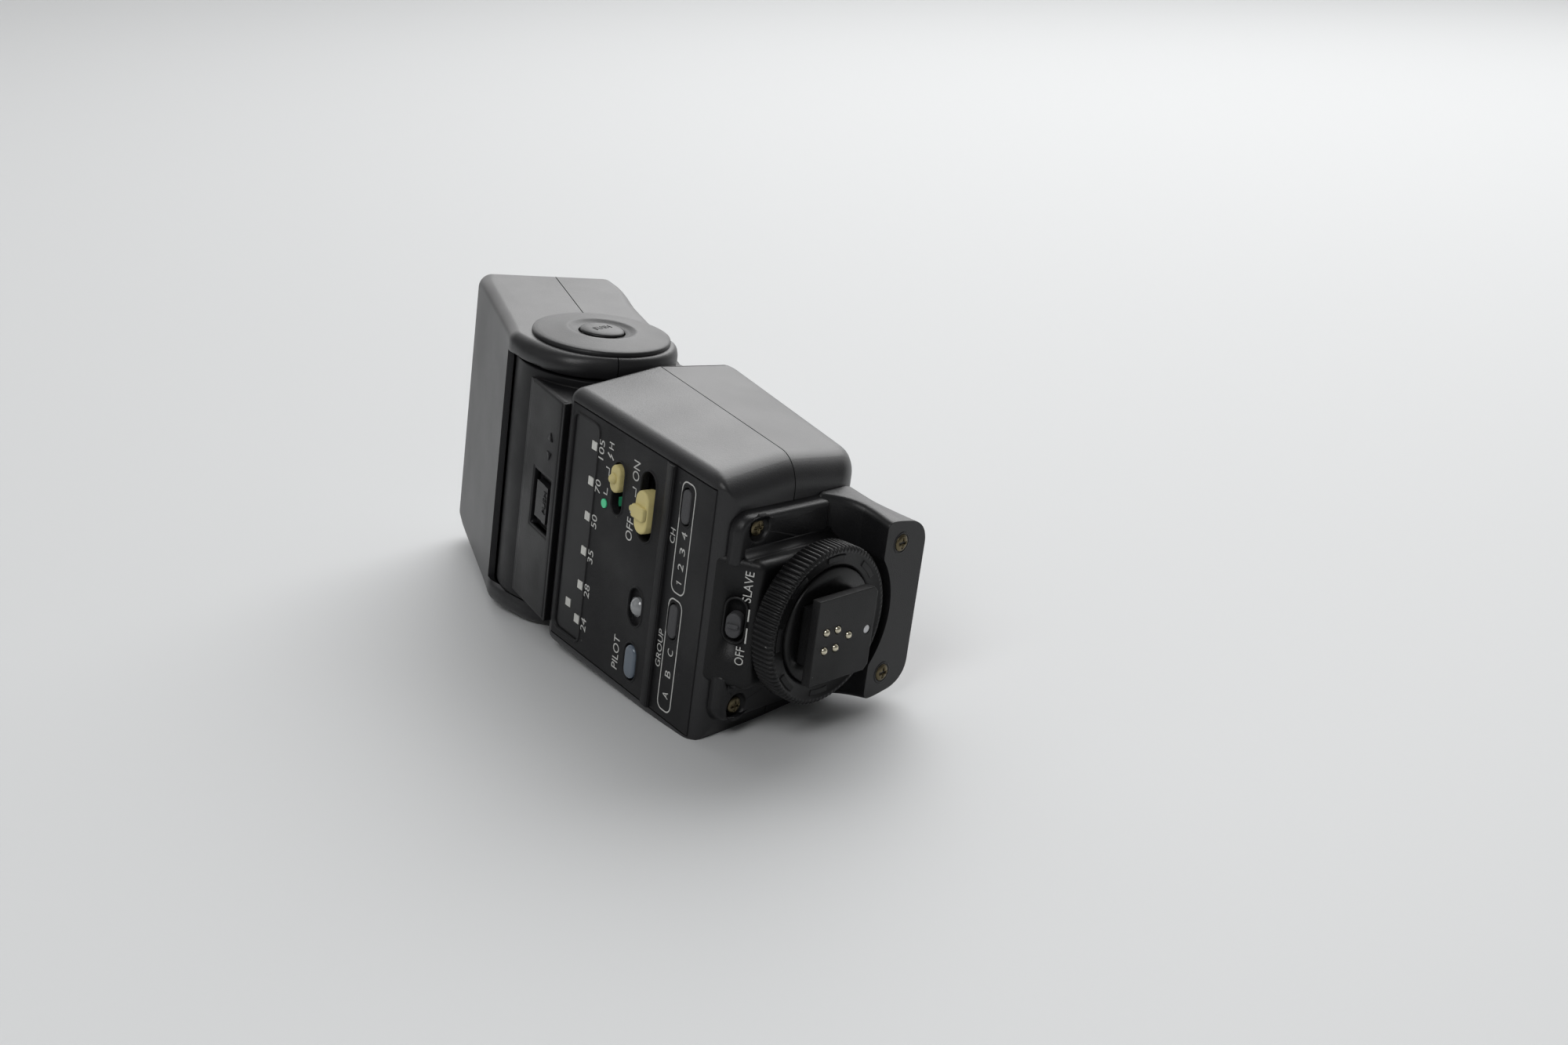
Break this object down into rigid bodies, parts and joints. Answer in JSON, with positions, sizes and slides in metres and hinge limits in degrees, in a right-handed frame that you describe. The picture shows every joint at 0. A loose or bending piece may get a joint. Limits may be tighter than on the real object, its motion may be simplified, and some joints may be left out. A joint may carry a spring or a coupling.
{
  "type": "camera flash",
  "caption": "Shoe-mount electronic flash with a tilting and swivelling zoom head, slide switches on its back, a knurled lock ring and a hot-shoe foot.",
  "frame": {"origin": "on the lock ring's axis at the underside of the shoe plate", "axes": "+X the way the flash faces, +Y from the foot to the head, +Z its right-hand side, which is up as it lies on its left side"},
  "size_m": [0.077, 0.1532, 0.0714],
  "materials": {
    "black_plastic": "satin fine grain",
    "foot_plastic": "satin, worn",
    "panel_plastic": "matte",
    "window_plastic": "smoked gloss",
    "lamp_plastic": "translucent",
    "green_lamp": "translucent",
    "cream_plastic": "satin",
    "grey_rubber": "matte",
    "red_plastic": "dark translucent",
    "steel": "bright",
    "brass": "plated",
    "inner_plastic": "satin",
    "cell_sleeve": "printed sleeve",
    "circuit_board": "satin",
    "mirror_sheet": "polished",
    "clear_plastic": "clear",
    "tube_glass": "clear"
  },
  "bodies": {
    "body": {"rear_shell": "black_plastic", "front_shell": "black_plastic", "control_panel": "panel_plastic", "display_window": "window_plastic", "zoom_lamps": "lamp_plastic", "sync_lamp": "green_lamp", "ready_lamp": "lamp_plastic", "door_hinge_pin": "steel", "battery_tray": "inner_plastic", "battery_cells": "cell_sleeve", "battery_contacts": "brass", "main_board": "circuit_board", "main_capacitor": "cell_sleeve", "assist_window": "red_plastic", "assist_lamp": "red_plastic", "foot_base": "foot_plastic", "foot_screws": "brass", "shoe_plate": "foot_plastic"},
    "neck": {"neck_rear": "black_plastic", "neck_front": "black_plastic", "swivel_hub": "steel", "hub_washer": "steel", "tilt_shaft": "steel", "click_spring": "steel"},
    "head": {"head_top_shell": "black_plastic", "head_bottom_shell": "black_plastic", "right_disc": "black_plastic", "left_disc": "black_plastic", "front_bezel": "black_plastic", "fresnel_lens": "clear_plastic", "guide_rods": "steel", "zoom_motor": "steel", "head_screws": "steel"},
    "zoom_carriage": {"zoom_carriage": "inner_plastic", "reflector": "mirror_sheet", "flash_tube": "tube_glass"},
    "lead_screw": {"lead_screw": "steel"},
    "battery_door": {"battery_door": "black_plastic"},
    "power_switch": {"power_switch": "cream_plastic"},
    "sync_switch": {"sync_switch": "cream_plastic"},
    "slave_switch": {"slave_switch": "foot_plastic"},
    "pilot_button": {"pilot_button": "lamp_plastic"},
    "channel_button": {"channel_button": "grey_rubber"},
    "group_button": {"group_button": "grey_rubber"},
    "lock_ring": {"lock_ring": "foot_plastic"},
    "lock_pin": {"lock_pin": "steel"},
    "contact_pins": {"contact_pins": "brass"},
    "swivel_button": {"swivel_button": "black_plastic"},
    "tilt_button": {"tilt_button": "black_plastic"}
  },
  "joints": [
    {"name": "head_swivel", "type": "hinge", "parent": "body", "child": "neck", "pos_m": [0.0184, 0.09, 0], "axis": [0, 1, 0], "range_deg": [-90, 180]},
    {"name": "head_tilt", "type": "hinge", "parent": "neck", "child": "head", "pos_m": [0.0184, 0.0979, 0], "axis": [0, 0, 1], "range_deg": [-60, 30]},
    {"name": "tilt_button_press", "type": "slide", "parent": "head", "child": "tilt_button", "axis": [0, 0, -1], "range_m": [0, 0.001], "stiffness_N_per_m": 400},
    {"name": "swivel_button_press", "type": "slide", "parent": "neck", "child": "swivel_button", "axis": [0.9423, -0.3347, 0], "range_m": [0, 0.0015], "stiffness_N_per_m": 400},
    {"name": "zoom_slide", "type": "slide", "parent": "head", "child": "zoom_carriage", "axis": [0.5, 0.866, 0], "range_m": [0, 0.007]},
    {"name": "lead_screw_turn", "type": "hinge", "parent": "head", "child": "lead_screw", "pos_m": [0.04119, 0.11938, 0], "axis": [0.5, 0.866, 0], "range_deg": [-5, 635]},
    {"name": "battery_door_swing", "type": "hinge", "parent": "body", "child": "battery_door", "pos_m": [0.03284, 0.05004, 0.0206], "axis": [0.3551, 0.9348, 0], "range_deg": [0, 90]},
    {"name": "power_slide", "type": "slide", "parent": "body", "child": "power_switch", "axis": [0, 0, 1], "range_m": [0, 0.0036]},
    {"name": "sync_slide", "type": "slide", "parent": "body", "child": "sync_switch", "axis": [0, 0, 1], "range_m": [-0.0046, 0]},
    {"name": "slave_slide", "type": "slide", "parent": "body", "child": "slave_switch", "axis": [0, 0, 1], "range_m": [0, 0.0024]},
    {"name": "pilot_press", "type": "slide", "parent": "body", "child": "pilot_button", "axis": [0.9767, -0.2147, 0], "range_m": [0, 0.0006], "stiffness_N_per_m": 400},
    {"name": "channel_press", "type": "slide", "parent": "body", "child": "channel_button", "axis": [0.9767, -0.2147, 0], "range_m": [0, 0.0006], "stiffness_N_per_m": 400},
    {"name": "group_press", "type": "slide", "parent": "body", "child": "group_button", "axis": [0.9767, -0.2147, 0], "range_m": [0, 0.0006], "stiffness_N_per_m": 400},
    {"name": "lock_ring_turn", "type": "hinge", "parent": "body", "child": "lock_ring", "pos_m": [0, 0.008, 0], "axis": [0, 1, 0], "range_deg": [0, 120]},
    {"name": "lock_pin_slide", "type": "slide", "parent": "body", "child": "lock_pin", "axis": [0, -1, 0], "range_m": [0, 0.0012]},
    {"name": "contact_pins_press", "type": "slide", "parent": "body", "child": "contact_pins", "axis": [0, 1, 0], "range_m": [0, 0.0005], "stiffness_N_per_m": 600}
  ],
  "couplings": [
    {"joint": "lock_pin_slide", "follows": "lock_ring_turn", "m_per_rad": 0.00057296},
    {"joint": "lead_screw_turn", "follows": "zoom_slide", "rad_per_m": 1570.8}
  ]
}
